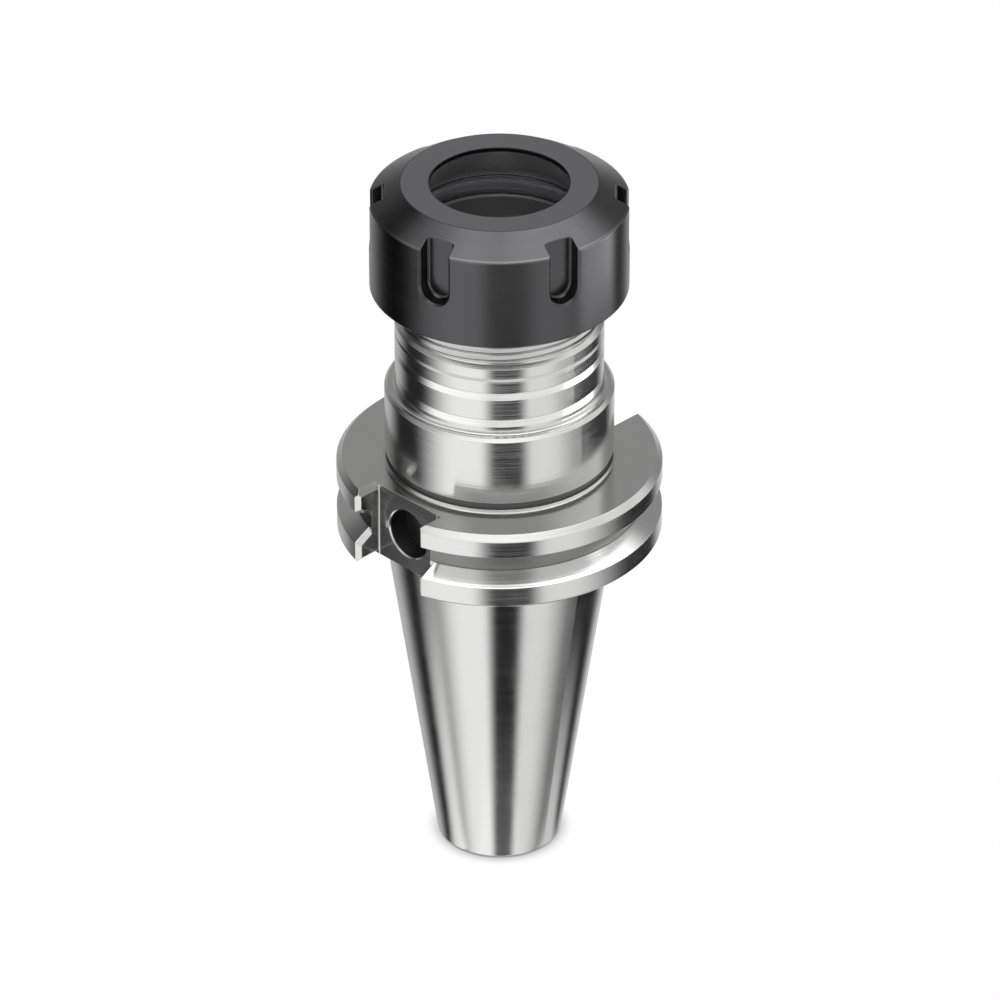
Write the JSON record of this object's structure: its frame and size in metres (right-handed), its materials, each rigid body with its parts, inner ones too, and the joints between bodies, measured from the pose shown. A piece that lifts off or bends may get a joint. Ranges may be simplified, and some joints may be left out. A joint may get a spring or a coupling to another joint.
{
  "type": "collet chuck holder",
  "caption": "Steep-taper tool holder with a grooved drive flange and a blackened, slotted clamping nut over a tapered collet seat.",
  "frame": {"origin": "centre of the spindle taper's gauge plane, where the taper measures 44.45 mm across", "axes": "+Z along the spindle axis from the drawbar end to the collet's mouth, -Y out of the drive slot that has the data chip's bore"},
  "size_m": [0.0636, 0.0608, 0.1477],
  "materials": {
    "holder_steel": "fine turned and ground steel",
    "nut_black_steel": "blackened steel, satin",
    "plug_steel": "blackened screw steel"
  },
  "bodies": {
    "holder": {"holder_body": "holder_steel", "coolant_plug_left": "plug_steel", "coolant_plug_right": "plug_steel"},
    "nut": {"clamping_nut": "nut_black_steel"}
  },
  "joints": [
    {"name": "nut_turn", "type": "hinge", "parent": "holder", "child": "nut", "pos_m": [0, 0, 0.062], "axis": [0, 0, 1], "range_deg": [-330, 2130]}
  ]
}
